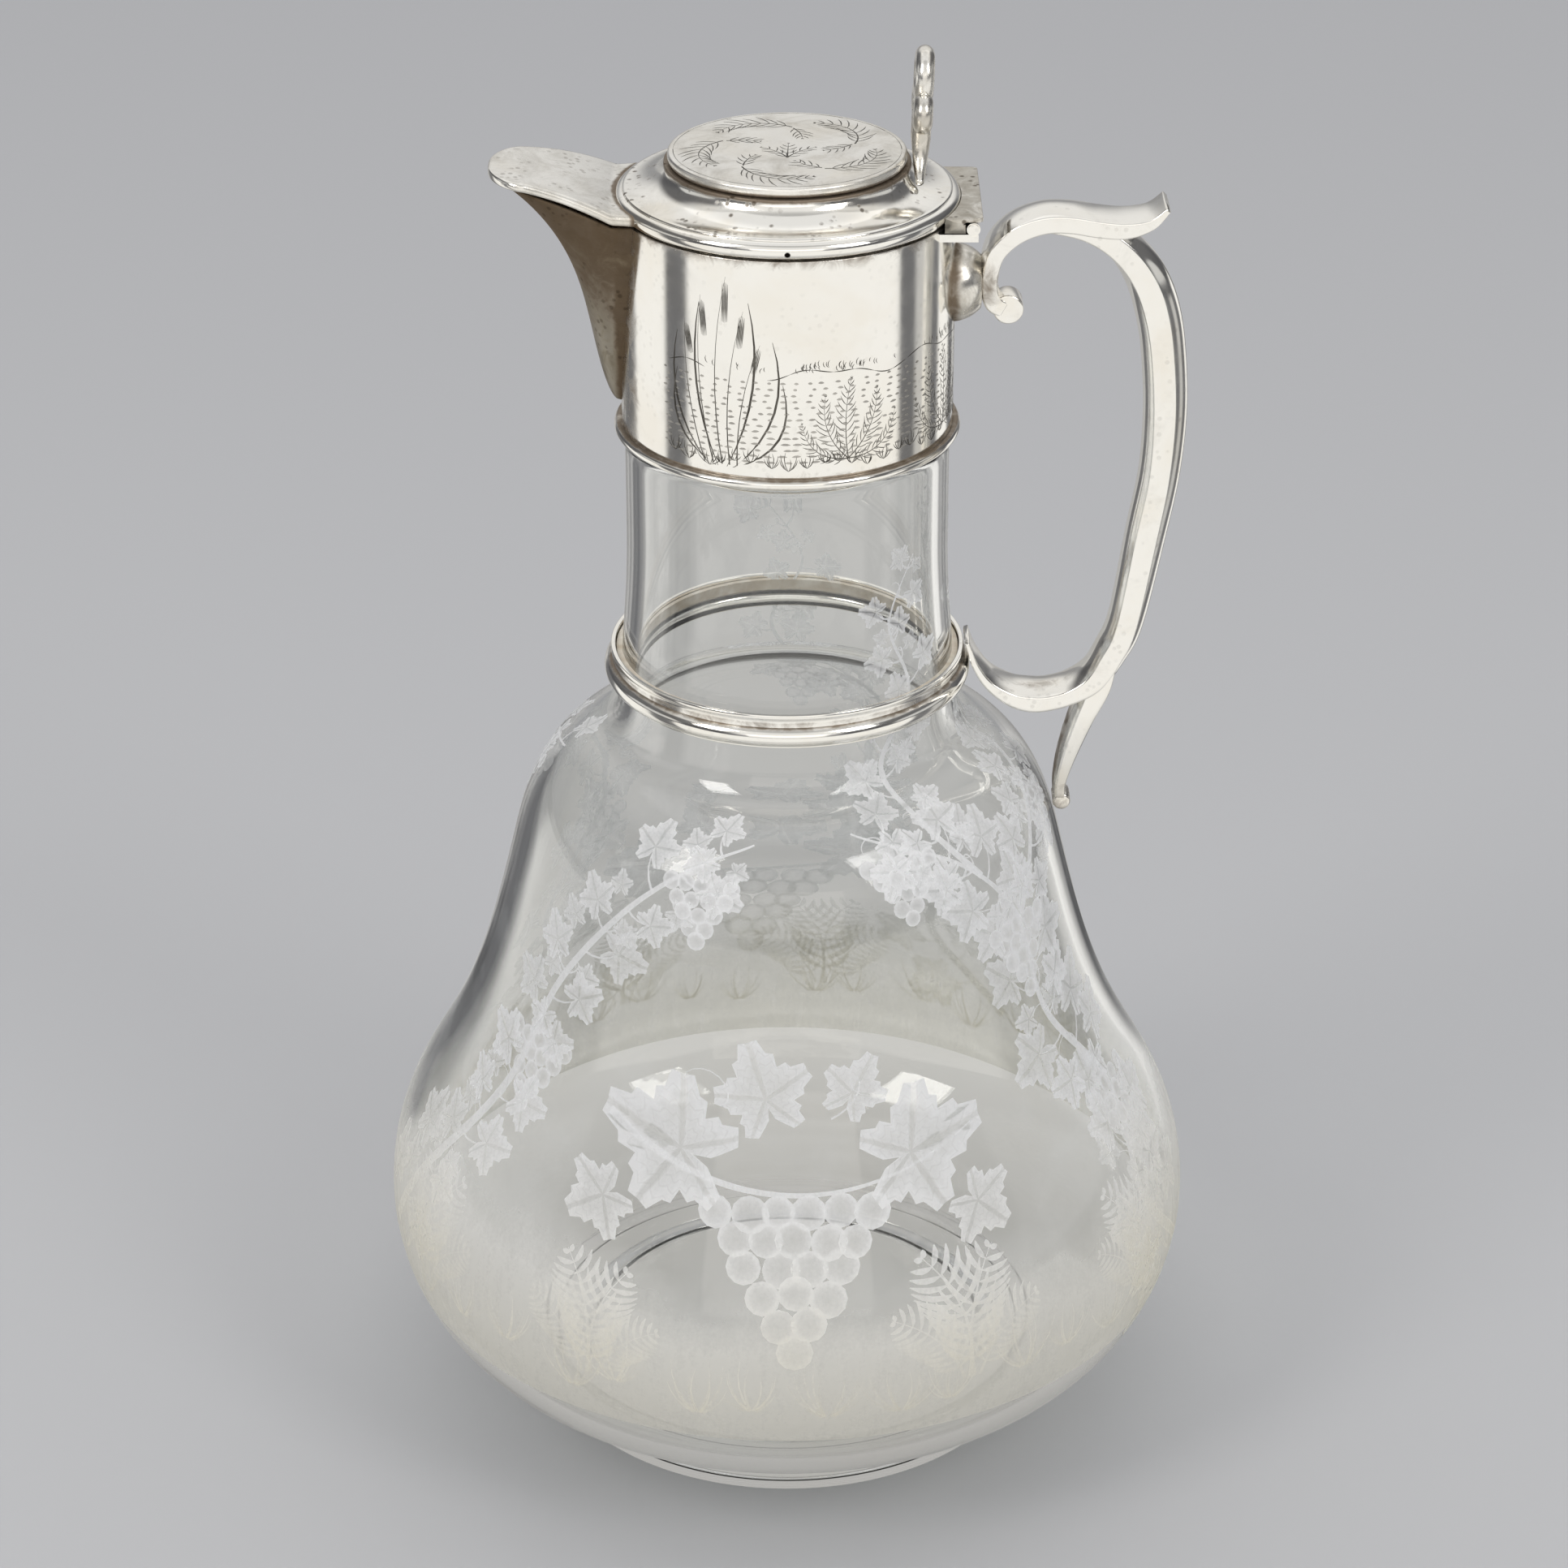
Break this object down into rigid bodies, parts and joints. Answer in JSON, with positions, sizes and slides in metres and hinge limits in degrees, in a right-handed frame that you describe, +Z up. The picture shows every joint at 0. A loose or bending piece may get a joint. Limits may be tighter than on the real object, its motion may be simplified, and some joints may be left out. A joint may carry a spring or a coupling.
{
  "type": "claret jug",
  "caption": "Waisted cut-glass jug with a silver collar, beak spout, hinged lid with a thumbpiece, neck ring and open scroll handle.",
  "frame": {"origin": "centre of the foot ring's underside, on the surface the jug stands on", "axes": "+Z up the jug's axis, -X to the spout, +X to the handle, Y along the hinge pin"},
  "size_m": [0.1568, 0.1568, 0.2747],
  "materials": {
    "glass": "clear blown glass with frosted wheel engraving",
    "silver": "polished silver with light tarnish and fine engraving",
    "plaster": "set plaster"
  },
  "bodies": {
    "jug": {"glass_bottle": "glass", "neck_ring_plaster": "plaster", "neck_ring_band": "silver", "neck_ring_bead": "silver", "collar_plaster": "plaster", "collar_drum": "silver", "collar_foot_wire": "silver", "collar_seat_ring": "silver", "spout": "silver", "hinge_lower_leaf": "silver", "hinge_jug_knuckles": "silver", "hinge_pin": "silver", "handle_boss": "silver", "handle": "silver"},
    "lid": {"lid_shell": "silver", "lid_disc": "silver", "lid_rim_wire": "silver", "spout_cover": "silver", "thumbpiece": "silver", "hinge_upper_leaf": "silver", "hinge_lid_knuckles": "silver"}
  },
  "joints": [
    {"name": "lid_hinge", "type": "hinge", "parent": "jug", "child": "lid", "pos_m": [0.0327, 0, 0.2457], "axis": [0, 1, 0], "range_deg": [0, 95]}
  ]
}
